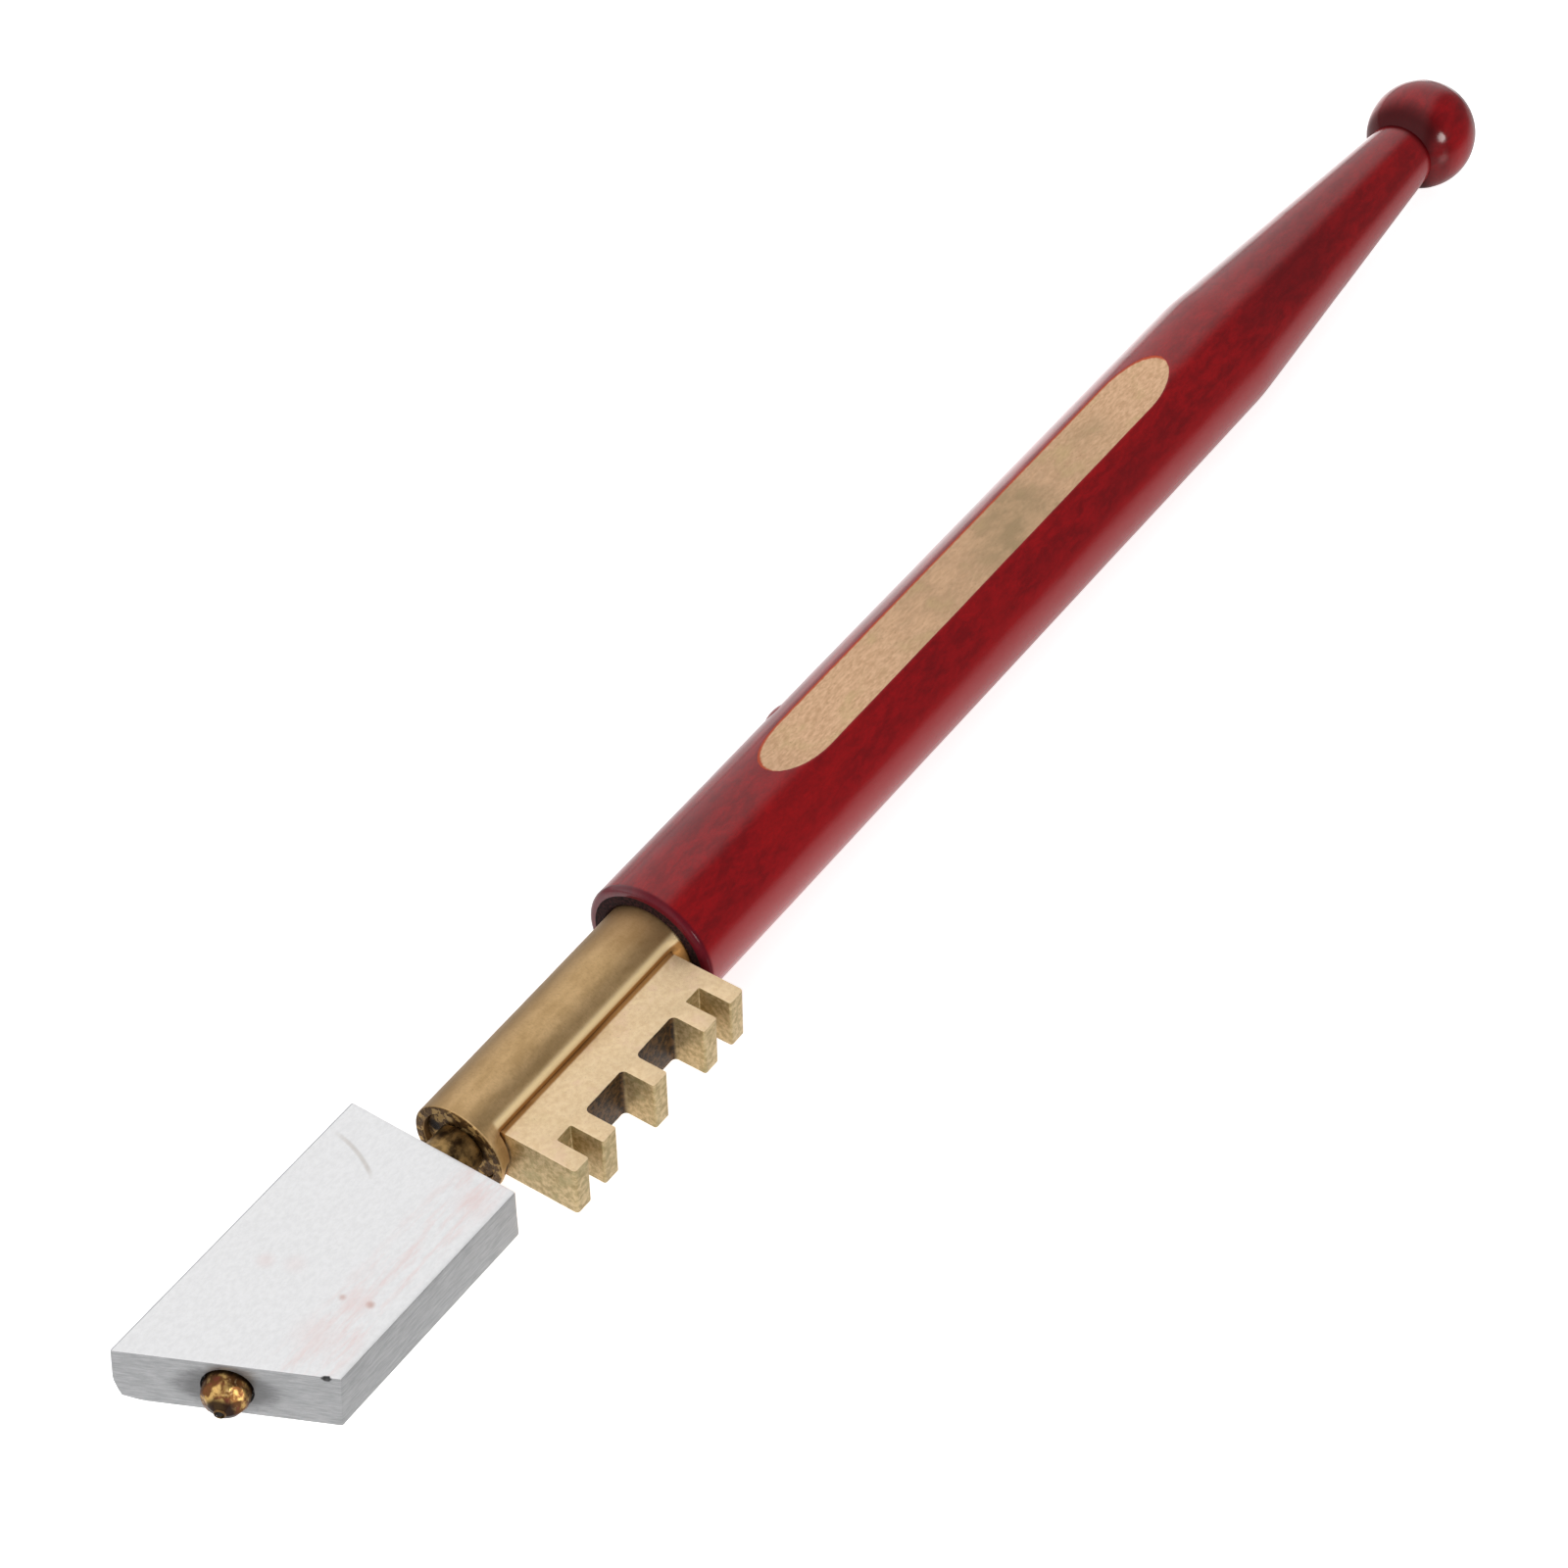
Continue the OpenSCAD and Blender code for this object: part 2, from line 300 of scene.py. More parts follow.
class Shader(Nodes):
    """A node material. Its coordinates are the tool's own, in millimetres."""

    def __init__(self, name, **settings):
        self.material = bpy.data.materials.new(name)
        self.material.use_nodes = True
        super().__init__(self.material.node_tree)
        self.surface = self.tree.nodes["Principled BSDF"]
        for key, value in settings.items():
            self.surface.inputs[key.replace("_", " ")].default_value = value
        self.place = self.vector("MULTIPLY", self.where.outputs["Object"], [1 / MM] * 3)

    def stretched(self, x=1, y=1, z=1, shift=(0, 0, 0)):
        """Coordinates for a pattern that is x, y and z times longer along each axis."""
        n = self.tree.nodes.new("ShaderNodeMapping")
        self.link(self.place, n.inputs["Vector"])
        n.inputs["Location"].default_value = shift
        n.inputs["Scale"].default_value = (1 / x, 1 / y, 1 / z)
        return n.outputs[0]

    def noise(self, size, detail=3, rough=0.5, where=None, warp=0):
        """Noise from 0 to 1 whose spots are about size millimetres."""
        n = self.tree.nodes.new("ShaderNodeTexNoise")
        self.link(where or self.place, n.inputs["Vector"])
        n.inputs["Scale"].default_value = 1 / size
        n.inputs["Detail"].default_value = detail
        n.inputs["Roughness"].default_value = rough
        n.inputs["Distortion"].default_value = warp
        return n.outputs["Fac"]

    def cells(self, size, where=None):
        """Distance to the nearest of scattered points about size millimetres apart."""
        n = self.tree.nodes.new("ShaderNodeTexVoronoi")
        self.link(where or self.place, n.inputs["Vector"])
        n.inputs["Scale"].default_value = 1 / size
        return n.outputs["Distance"]

    def mix(self, share, a, b):
        """Colour a where share is 0, and b where it is 1."""
        n = self.tree.nodes.new("ShaderNodeMix")
        n.data_type = "RGBA"
        colours = [s for s in n.inputs if s.type == "RGBA"]
        self.link(share, n.inputs[0])
        self.link(a, colours[0])
        self.link(b, colours[1])
        return next(s for s in n.outputs if s.type == "RGBA")

    def facing(self, axis):
        """How squarely the surface faces along an axis, from -1 to 1, in the piece's own frame."""
        return self.axis(axis, self.where.outputs["Normal"])

    def facing_up(self):
        """How squarely the surface faces up or down, from 0 to 1."""
        return self.math("ABSOLUTE", self.facing("Z"))

    def spot(self, centre, radius, soft):
        """1 within radius of a point, easing to 0 over soft."""
        gap = self.vector("DISTANCE", self.place, tuple(centre))
        return self.step(gap, radius, radius + soft, 1, 0)

    def finish(self, colour, roughness, height=None, depth=0.05):
        """The finished material, with bumps of depth millimetres where a height is given."""
        self.link(colour, self.surface.inputs["Base Color"])
        self.link(roughness, self.surface.inputs["Roughness"])
        if height is not None:
            bump = self.tree.nodes.new("ShaderNodeBump")
            bump.inputs["Distance"].default_value = depth * MM
            self.link(height, bump.inputs["Height"])
            self.link(bump.outputs[0], self.surface.inputs["Normal"])
        return self.material


# A long dark patch on top of the taper, and how much longer than wide it is
LONG_PATCH, PATCH_STRETCH = (54, -2.6, 4.4), 5


def lacquer(name):
    """Deep crimson gloss over wood, mottled along the grain, with painted shade and a dulled coat in the
    neck and at the front rim, and painted light on the -Y side.
    """
    s = Shader(name, Coat_Roughness=0.16, Coat_IOR=1.5, Specular_IOR_Level=0)
    streaks = s.noise(0.8, 5, 0.65, s.stretched(x=2.6), warp=0.3)
    patches = s.noise(4.5, 3, 0.5, s.stretched(x=2.5, shift=(3, 1, 7)))
    fine = s.noise(0.2, 4, 0.6, s.stretched(x=2))
    tone = s.mix(s.step(streaks, 0.34, 0.66), (0.2, 0.003, 0.0055), (0.315, 0.004, 0.007))
    tone = s.mix(s.step(patches, 0.46, 0.7, 0, 0.4), tone, (0.38, 0.006, 0.007))
    tone = s.mix(s.step(patches, 0.46, 0.3, 0, 0.4), tone, (0.15, 0.0035, 0.006))
    tone = s.mix(s.step(fine, 0.4, 0.66, 0, 0.24), tone, (0.1, 0.003, 0.005))
    # Darker towards the ball and in the long patch. Redder on surfaces facing -Y: painted light for the
    # extra light that side gets
    tone = s.mix(s.step(s.axis("X"), 34, 60, 0, 0.12), tone, (0.125, 0.0035, 0.0065))
    x, y, z = LONG_PATCH
    from_patch = s.vector("DISTANCE", s.stretched(x=PATCH_STRETCH), (x / PATCH_STRETCH, y, z))
    tone = s.mix(s.step(from_patch, 0.6, 2.8, 0.45, 0), tone, (0.095, 0.003, 0.0055))
    tone = s.mix(s.step(s.facing("Y"), -0.8, -0.99), tone, (0.36, 0.0045, 0.008))
    # Painted shade in the neck, least of it on the -Y side, and on the front rim; the coat is dulled in the
    # neck and on the rim's -Y side
    neck_shade = s.step(s.axis("X"), NECK_X - 1, NECK_X)
    neck_shade = s.times(neck_shade, s.step(s.axis("Y"), -3.8, -2.4, 0.4, 1))
    neck_shade = s.times(neck_shade, s.step(s.axis("X"), NECK_X + 0.7, NECK_X + 3, 0.95, 0))
    tone = s.mix(neck_shade, tone, (0.045, 0.002, 0.003))
    # Painted shade: the front rim's lacquer darkened towards maroon
    rim = s.step(s.axis("X"), FRONT_X + 0.42, FRONT_X + 0.75, 1, 0)
    tone = s.mix(s.times(rim, 0.75), tone, (0.075, 0.01, 0.018))
    dull_rim = s.times(rim, s.step(s.axis("Y"), 2.5, -0.5))
    dull = s.times(s.math("MAXIMUM", neck_shade, dull_rim), 0.8)
    s.link(s.minus(1, dull), s.surface.inputs["Coat Weight"])
    ripple = s.plus(s.noise(2.5, 2, 0.4, s.stretched(x=3)), s.times(fine, 0.1))
    return s.finish(tone, 0.5, ripple, 0.03)


def end_grain_painted_shade(name):
    """Painted shade: the end grain round the stem on the handle's front face, painted nearly black."""
    s = Shader(name, Specular_IOR_Level=0.15)
    fibres = s.noise(0.25, 4, 0.6)
    tone = s.mix(s.step(fibres, 0.4, 0.65), (0.01, 0.004, 0.004), (0.045, 0.014, 0.014))
    return s.finish(tone, 0.8, fibres, 0.03)


# Where the thumb has greyed the bare wood: (place, softness, strength)
THUMB_SPOTS = (
    ((11, 0.3, 5.4), 4.4, 0.9),
    ((6.6, -1.1, 5.4), 4, 0.7),
    ((23.2, 0.4, 5.4), 3.4, 0.35),
)


def bare_wood(name):
    """Planed pale wood with fine grain, stained orange where the cut runs out to the lacquer."""
    s = Shader(name, Specular_IOR_Level=0.25)
    grain = s.noise(0.24, 5, 0.7, s.stretched(x=3))
    pores = s.cells(0.42, s.stretched(x=1.6))
    cloud = s.noise(2.6, 4, 0.6, s.stretched(x=1.6))
    tone = s.mix(s.step(grain, 0.3, 0.7), (0.56, 0.33, 0.178), (0.81, 0.52, 0.318))
    # Dull along the middle of the flat, with olive clouds and the thumb's grey spots
    handled = s.step(s.math("ABSOLUTE", s.minus(s.axis("X"), 6)), 6, 22, 0.55, 0)
    dull = s.mix(s.step(cloud, 0.4, 0.62), (0.58, 0.37, 0.215), (0.36, 0.23, 0.135))
    tone = s.mix(handled, tone, dull)
    tone = s.mix(s.step(cloud, 0.5, 0.72, 0, 0.5), tone, (0.6, 0.44, 0.21))
    for place, soft, strength in THUMB_SPOTS:
        spot = s.times(s.spot(place, 0.5, soft), s.step(cloud, 0.36, 0.56, 0.45, 1))
        tone = s.mix(s.times(spot, strength), tone, (0.34, 0.24, 0.125))
    tone = s.mix(s.step(pores, 0.02, 0.18, 0.6, 0), tone, (0.33, 0.18, 0.09))
    # A ragged orange line along the flat's edges, wider on the +Y side
    radius = s.vector("LENGTH", s.vector("MULTIPLY", s.place, (0, 1, 1)))
    edge = s.minus(DOWEL_R, radius)
    ragged = s.plus(edge, s.times(s.minus(grain, 0.5), 0.06))
    side = s.step(s.axis("Y"), -2, 1.4, -0.04, 0.06)
    stained = s.step(s.minus(ragged, side), 0, 0.05, 1, 0)
    tone = s.mix(stained, tone, (0.5, 0.075, 0.03))
    return s.finish(tone, s.step(grain, 0.3, 0.7, 0.62, 0.8), s.plus(grain, pores), 0.012)


def plain_metal(name, light, dark, rough, patina, pits=0.3):
    """Mottled metal with some patina and pits, for the pin's collar and the washer."""
    s = Shader(name, Metallic=0.9)
    mottle = s.noise(1, 5, 0.6)
    cloud = s.noise(3.5, 3, 0.5, s.stretched(shift=(4, 9, 2)))
    grit = s.noise(0.1, 3, 0.6)
    tone = s.mix(s.step(mottle, 0.32, 0.68), dark, light)
    tone = s.mix(s.step(cloud, 0.5, 0.75, 0, 0.3), tone, patina)
    tone = s.mix(s.step(s.cells(0.5), 0.03, 0.14, pits, 0), tone, patina)
    return s.finish(tone, s.step(grit, 0.3, 0.7, rough - 0.06, rough + 0.08), grit, 0.008)


# A painted shadow on the stem at the front end of the slot, just in front of the plate
PLATE_FRONT_SHADOW = (-68, -4.15, -0.6)


def turned_brass(name):
    """The stem: turned brass that spreads its highlights along the axis, with a tarnished end, painted
    shade on its +Y side, painted highlights on the lips beside the plate and a painted shadow in front of
    the plate.
    """
    s = Shader(name, Metallic=0.9, Anisotropic=0.4, Anisotropic_Rotation=0.25)
    tangent = s.tree.nodes.new("ShaderNodeTangent")
    tangent.direction_type = "RADIAL"
    tangent.axis = "X"
    s.link(tangent.outputs[0], s.surface.inputs["Tangent"])
    turned = s.noise(0.35, 5, 0.65, s.stretched(x=0.5))
    mottle = s.noise(1.4, 4, 0.6, s.stretched(x=2.2))
    grit = s.noise(0.09, 3, 0.6)
    tone = s.mix(s.step(mottle, 0.32, 0.68), (0.52, 0.335, 0.15), (0.68, 0.455, 0.225))
    tone = s.mix(s.step(turned, 0.42, 0.72, 0, 0.35), tone, (0.38, 0.235, 0.1))
    tone = s.mix(s.step(s.axis("X"), FRONT_X - 7, FRONT_X - 0.5, 0, 0.6), tone, (0.28, 0.145, 0.055))
    tone = s.mix(s.step(s.cells(0.5), 0.03, 0.12, 0.35, 0), tone, (0.26, 0.15, 0.06))
    # Painted shade: darker brown towards the +Y side, which gets less light
    dull = s.plus(s.axis("Y"), s.times(mottle, 1.2))
    tone = s.mix(s.step(dull, 1, 3.6, 0, 0.6), tone, (0.27, 0.165, 0.075))
    # Painted highlights on the lips beside the plate, with a brown line of flux between lip and plate
    slot_side = s.minus(s.math("ABSOLUTE", s.axis("Z")), PLATE_HIGH.z + SLOT_GAP)
    beside = s.step(s.axis("X"), PLATE_LOW.x - 0.4, PLATE_LOW.x)
    beside = s.times(s.step(s.axis("Y"), -2.2, -2.6), beside)
    painted_lip_highlight = s.times(s.step(slot_side, 1, 0.55, 0, 0.95), beside)
    tone = s.mix(painted_lip_highlight, tone, (0.97, 0.76, 0.44))
    root = s.times(s.step(slot_side, 0.1, 0.3, 0.93, 0), beside)
    tone = s.mix(root, tone, (0.42, 0.19, 0.045))
    # Painted shadow just in front of the plate
    tone = s.mix(s.spot(PLATE_FRONT_SHADOW, 0.3, 0.35), tone, (0.05, 0.025, 0.01))
    end = s.step(s.axis("X"), STEM_END_X + 0.02, STEM_END_X + 0.11, 1, 0)
    tone = s.mix(end, tone, end_blotches(s))
    return s.finish(tone, s.step(grit, 0.3, 0.7, 0.44, 0.54), s.plus(grit, turned), 0.008)


def end_blotches(s):
    """Dark brown tarnish with golden blotches, seen on the stem's end and on the bush in it."""
    blotch = s.noise(0.75, 4, 0.6, s.stretched(shift=(2, 5, 1)), warp=0.5)
    fine = s.noise(0.28, 3, 0.6)
    tone = s.mix(s.step(fine, 0.35, 0.65), (0.07, 0.034, 0.01), (0.17, 0.09, 0.028))
    return s.mix(s.step(blotch, 0.52, 0.6), tone, (0.5, 0.32, 0.12))


# Painted golden highlights on the bush's face: (place, radius), and one black spot of painted shade
BUSH_PAINTED_HIGHLIGHTS = (((BUSH_X, 1.1, 2.4), 0.35), ((BUSH_X, -0.4, 2.9), 0.25), ((BUSH_X, -2.6, 0.9), 0.4))
BUSH_PAINTED_SHADE_SPOT = (BUSH_X, 2.6, 0.6)


def bush_bronze(name):
    """The bush: tarnished like the stem's end, with a few painted golden highlights and a spot of painted
    shade.
    """
    s = Shader(name, Metallic=0.75)
    grit = s.noise(0.1, 3, 0.6)
    tone = end_blotches(s)
    for place, radius in BUSH_PAINTED_HIGHLIGHTS:
        tone = s.mix(s.spot(place, radius * 0.5, radius), tone, (0.66, 0.45, 0.19))
    tone = s.mix(s.spot(BUSH_PAINTED_SHADE_SPOT, 0.45, 0.3), tone, (0.012, 0.006, 0.003))
    return s.finish(tone, s.step(grit, 0.3, 0.7, 0.35, 0.55), s.plus(grit, s.noise(0.5)), 0.05)


def notch_floor_shade(s):
    """1 on the floors of the two wide notches of the plate, where shade is painted, and 0 elsewhere."""
    floor_y = PLATE_LOW.y + NOTCH_DEPTH
    uneven_y = s.plus(s.axis("Y"), s.times(s.noise(0.6, 4), 0.5))
    deep = s.step(uneven_y, floor_y - 0.35, floor_y + 0.1)
    total = 0
    for start in (start for start, width in NOTCHES if width == WIDE):
        middle = PLATE_LOW.x + start + WIDE / 2
        gap = s.math("ABSOLUTE", s.minus(s.axis("X"), middle))
        total = s.plus(s.step(gap, WIDE / 2 - 0.2, WIDE / 2 + 0.15, 1, 0), total)
    return s.times(deep, total)


def plate_brass(name):
    """Pale matte brass, mottled pink and olive, duller on its sawn sides, with painted shade in the wide
    notches.
    """
    s = Shader(name, Metallic=0.75)
    mottle = s.noise(0.5, 5, 0.65)
    cloud = s.noise(1.8, 4, 0.6, s.stretched(shift=(4, 9, 2)))
    grit = s.noise(0.09, 3, 0.6)
    pits = s.step(s.cells(0.42), 0.03, 0.13, 0.4, 0)
    tone = s.mix(s.step(mottle, 0.34, 0.66), (0.86, 0.63, 0.37), (0.97, 0.75, 0.47))
    tone = s.mix(s.step(cloud, 0.56, 0.74, 0, 0.2), tone, (0.74, 0.58, 0.3))
    tone = s.mix(s.step(cloud, 0.46, 0.32, 0, 0.4), tone, (0.93, 0.66, 0.47))
    sides = s.mix(s.step(mottle, 0.35, 0.65), (0.42, 0.31, 0.14), (0.7, 0.54, 0.3))
    sides = s.mix(s.step(cloud, 0.5, 0.66, 0, 0.5), sides, (0.4, 0.34, 0.16))
    # Painted shade, nearly black, on the wide notches' floors
    tarnish = s.mix(s.step(mottle, 0.4, 0.6), (0.02, 0.01, 0.005), (0.12, 0.06, 0.02))
    sides = s.mix(notch_floor_shade(s), sides, tarnish)
    upright = s.step(s.facing_up(), 0.35, 0.75, 1, 0)
    tone = s.mix(upright, tone, sides)
    root_stain = s.step(s.axis("Y"), ROOT_LINE_Y - 0.12, ROOT_LINE_Y + 0.1, 0, 0.93)
    tone = s.mix(root_stain, tone, (0.38, 0.175, 0.04))
    tone = s.mix(pits, tone, (0.34, 0.22, 0.09))
    return s.finish(tone, s.step(grit, 0.3, 0.7, 0.38, 0.52), s.plus(grit, mottle), 0.014)


# Stains on the block's top: (place, radius, softness, strength, colour). The scratch is an arc.
RED_BROWN, PINK = (0.55, 0.25, 0.17), (0.9, 0.7, 0.67)
TOP_MARKS = (
    ((-86.45, -2.96), 0.03, 0.4, 0.5, RED_BROWN),
    ((-85.85, -5.1), 0.06, 0.46, 0.62, RED_BROWN),
    ((-86.3, -4.2), 0.3, 1.5, 0.3, PINK),
    ((-87, 3.9), 0.1, 1, 0.3, PINK),
    ((-86, 1.9), 0.1, 1.2, 0.2, PINK),
    ((-90.3, -3.6), 0.1, 2.6, 0.28, PINK),
    ((-74, -5.6), 0.1, 2.4, 0.3, PINK),
)
SCRATCH_MIDDLE, SCRATCH_R = (-85, 8.45), 10.63


def milled_top(s):
    """The block's top and underside: bright and satin, with a line of painted shade along the +Y edge. The
    stains and the scratch are on top only.
    """
    grain = s.noise(0.3, 5, 0.7, s.stretched(x=1.6))
    tone = s.mix(s.step(grain, 0.3, 0.7), (0.89, 0.885, 0.88), (0.97, 0.965, 0.96))
    upper = s.step(s.axis("Z"), 0, 1)
    smear = s.noise(1.3, 5, 0.65, s.stretched(x=4.5, y=0.8))
    reach = s.times(s.step(s.axis("Y"), -1, -4.5), s.step(s.axis("Y"), -7.4, -6.2))
    reach = s.times(reach, upper)
    tone = s.mix(s.times(s.step(smear, 0.44, 0.7, 0, 0.6), reach), tone, PINK)
    for (x, y), radius, soft, strength, colour in TOP_MARKS:
        mark = s.times(s.spot((x, y, BLOCK_HIGH.z), radius, soft), strength)
        tone = s.mix(mark, tone, colour)
    ring = s.vector("DISTANCE", s.place, (*SCRATCH_MIDDLE, BLOCK_HIGH.z))
    line = s.step(s.math("ABSOLUTE", s.minus(ring, SCRATCH_R)), 0.06, 0.28, 0.42, 0)
    part = s.times(s.step(s.axis("Y"), 2, 3.2), s.step(s.axis("Y"), 7.9, 5.6))
    part = s.times(part, s.step(s.axis("X"), -82, -80))
    part = s.times(part, upper)
    tone = s.mix(s.times(line, part), tone, (0.52, 0.45, 0.38))
    # Painted shade: a dark line along the +Y edge
    far_edge_shade = s.step(s.axis("Y"), BLOCK_HIGH.y - 0.18, BLOCK_HIGH.y - 0.08, 0, 0.85)
    return s.mix(far_edge_shade, tone, (0.28, 0.28, 0.29))


def aluminium(name):
    """The block: satin on top, grey and brushed on its sawn sides, which are also darkened as painted
    shade, with a painted shadow round the holder.
    """
    s = Shader(name, Metallic=0.8)
    grit = s.noise(0.08, 3, 0.6)
    brushed = s.noise(0.24, 5, 0.7, s.stretched(x=6, y=6, z=0.6))
    blotch = s.noise(0.9, 4, 0.65, s.stretched(x=2, y=2))
    # The sawn sides' grey is partly their sawn finish and partly painted shade
    sawn = s.mix(s.step(brushed, 0.3, 0.7), (0.36, 0.365, 0.37), (0.53, 0.53, 0.535))
    sawn = s.mix(s.step(blotch, 0.5, 0.7, 0, 0.35), sawn, (0.33, 0.33, 0.335))
    # Painted shadow round the holder on the slanted face
    holder_shadow = s.vector("DISTANCE", s.stretched(z=0.5), tuple(FACE_MIDDLE))
    holder_shadow = s.plus(holder_shadow, s.times(s.minus(blotch, 0.5), 3))
    sawn = s.mix(s.step(holder_shadow, 2.6, 5.2, 0.75, 0), sawn, (0.13, 0.13, 0.13))
    tone = s.mix(s.step(s.facing_up(), 0.35, 0.75, 1, 0), milled_top(s), sawn)
    for along, down, size in NICK_SHADOW:
        middle = NICK + FACE_ALONG * along - FACE_NORMAL * 0.08 - Vector((0, 0, down))
        tone = s.mix(s.spot(middle, size, 0.14), tone, (0.08, 0.08, 0.08))
    rough = s.step(grit, 0.3, 0.7, 0.36, 0.5)
    return s.finish(tone, rough, s.plus(grit, s.times(brushed, 0.6)), 0.006)


def nose_brass(name):
    """The holder: hammered brass, golden with maroon and dark brown patches, black at its tip and with
    painted shadow round its foot.
    """
    s = Shader(name, Metallic=0.9)
    from_face = s.vector("SUBTRACT", s.place, tuple(FACE_MIDDLE))
    out = s.vector("DOT_PRODUCT", from_face, tuple(FACE_NORMAL))
    patch = s.noise(0.9, 4, 0.6, s.stretched(shift=(1, 2, 6)), warp=0.4)
    second = s.noise(0.7, 4, 0.6, s.stretched(shift=(8, 3, 5)), warp=0.4)
    grit = s.noise(0.09, 3, 0.6)
    tone = s.mix(s.step(patch, 0.45, 0.62), (0.16, 0.065, 0.02), (0.66, 0.42, 0.14))
    tone = s.mix(s.step(second, 0.5, 0.64, 0, 0.75), tone, (0.22, 0.055, 0.035))
    tone = s.mix(s.step(second, 0.4, 0.3, 0, 0.7), tone, (0.7, 0.5, 0.27))
    # Painted shadow, nearly black, round the holder's foot
    foot_shadow = s.step(s.plus(out, s.times(patch, 0.5)), 0.35, 0.75, 0.9, 0)
    tone = s.mix(foot_shadow, tone, (0.03, 0.014, 0.006))
    tip = s.step(out, HOLDER_REACH - 0.7, HOLDER_REACH - 0.3, 0, 0.95)
    tone = s.mix(tip, tone, (0.02, 0.009, 0.006))
    return s.finish(tone, s.step(grit, 0.3, 0.7, 0.28, 0.42), s.plus(grit, patch), 0.02)


def dark_stone(name):
    """The diamond, a black point."""
    s = Shader(name, Specular_IOR_Level=0.15)
    cloud = s.noise(0.2, 3)
    return s.finish(s.mix(cloud, (0.006, 0.005, 0.004), (0.03, 0.024, 0.02)), 0.5)


LACQUER = lacquer("lacquer")
BARE_WOOD = bare_wood("bare_wood")
END_GRAIN_PAINTED_SHADE = end_grain_painted_shade("end_grain_painted_shade")
STEM_BRASS = turned_brass("stem_brass")
PLATE_BRASS = plate_brass("plate_brass")
BRONZE = bush_bronze("dark_bronze")
PIN_BRASS = plain_metal(
    "pin_brass", (0.46, 0.29, 0.11), (0.05, 0.026, 0.01), 0.38, (0.03, 0.016, 0.007), pits=0.6)
HOLDER_BRASS = nose_brass("holder_brass")
ALUMINIUM = aluminium("aluminium")
STONE = dark_stone("dark_diamond")
STEEL = plain_metal("washer_steel", (0.55, 0.55, 0.56), (0.4, 0.4, 0.41), 0.35, (0.2, 0.2, 0.2))


# ---- handle

def flat_distance(x):
    """Distance of the flat's surface from the tool axis at a station along it."""
    run_out = math.sqrt(2 * FLAT_END_R * FLAT_DEPTH - FLAT_DEPTH ** 2)
    past = max(FLAT_FROM + run_out - x, x - (FLAT_TO - run_out), 0)
    rise = FLAT_END_R - math.sqrt(FLAT_END_R ** 2 - past ** 2)
    return DOWEL_R - FLAT_DEPTH + rise


def lacquer_ripple(x, angle, r):
    """How far the lacquered surface stands off its true radius. It never stands proud."""
    p = (x / 3, r * math.sin(angle), r * math.cos(angle))
    return 0.012 * (wave(p, 3) - 1) + 0.006 * (wave(p, 0.9, 5) - 1)


def handle_profile():
    """(x, radius) from the bottom of the bore, round the front edge and back to the ball's end."""
    bore_r = STEM_R + BORE_GAP
    bore = [(FRONT_X + TANG_DEPTH, bore_r), (FRONT_X + BORE_LEAD, bore_r), (FRONT_X, bore_r + BORE_LEAD)]
    face = [(FRONT_X, r) for r in steps(STEM_R + 0.4, DOWEL_R - FRONT_ROUND, 0.2)]
    edge = arc(FRONT_X + FRONT_ROUND, DOWEL_R - FRONT_ROUND, FRONT_ROUND, 180, 90, 10)
    dowel = [(x, DOWEL_R) for x in steps(FRONT_X + FRONT_ROUND + 0.4, DOWEL_END_X - 1, 0.5)]
    shoulder = [(DOWEL_END_X + t, taper_radius(DOWEL_END_X + t)) for t in (-1, -0.5, 0, 0.5, 1)]
    taper = [(x, taper_radius(x)) for x in steps(DOWEL_END_X + 1.5, NECK_X, 0.5)]
    neck_deg = math.degrees(math.atan2(NECK_R, NECK_X - BALL_X))
    ball = arc(BALL_X, 0, BALL_R, neck_deg, 0, 60)
    return bore + face + edge + dowel + shoulder + taper + ball


def taper_radius(x):
    """Dowel, then a straight taper to the neck, with the shoulder between them eased."""
    slope = (DOWEL_R - NECK_R) / (NECK_X - DOWEL_END_X)
    past = x - DOWEL_END_X
    if past < -SHOULDER_EASE:
        return DOWEL_R
    if past > SHOULDER_EASE:
        return DOWEL_R - slope * past
    return DOWEL_R - slope * (past + SHOULDER_EASE) ** 2 / (4 * SHOULDER_EASE)


def merge_stations(profile, extra):
    """The profile with more stations along the straight dowel."""
    start = next(i for i, p in enumerate(profile) if p[1] == DOWEL_R and p[0] > FRONT_X + FRONT_ROUND)
    end = max(i for i, p in enumerate(profile) if p[1] == DOWEL_R)
    dowel = sorted({p[0] for p in profile[start:end + 1]} | set(extra))
    kept = [x for i, x in enumerate(dowel) if i == 0 or x in extra or min(abs(x - e) for e in extra) > 0.01]
    return profile[:start] + [(x, DOWEL_R) for x in kept] + profile[end + 1:]


def flat_half_angles(x, r):
    """Half angles of the flat at a station, towards +Y and -Y, out to the rippled surface."""
    angles = []
    for sign in (1, -1):
        angle = 0
        for _ in range(4):
            here = r + lacquer_ripple(x, FLAT_TURN + sign * angle, r)
            angle = math.acos(min(1, flat_distance(x) / here))
        angles.append(angle)
    return angles


def handle_ring(x, r):
    """Points round the handle at one station, the first of them across the flat."""
    cut = FLAT_FROM < x < FLAT_TO and r > DOWEL_R - FLAT_DEPTH
    right, left = flat_half_angles(x, r) if cut else (0, 0)
    across = [-left + (right + left) * j / FLAT_SEGMENTS for j in range(FLAT_SEGMENTS)]
    rest = 2 * math.pi - right - left
    around = [right + rest * j / ROUND_SEGMENTS for j in range(ROUND_SEGMENTS)]
    ring = []
    for j, turn in enumerate(across + around):
        angle = FLAT_TURN + turn
        out = r
        if cut and j < FLAT_SEGMENTS:
            out = flat_distance(x) / math.cos(turn)
        elif r > STEM_R + 0.5:
            out += lacquer_ripple(x, angle, r)
        ring.append((x, out * math.sin(angle), out * math.cos(angle)))
    return ring


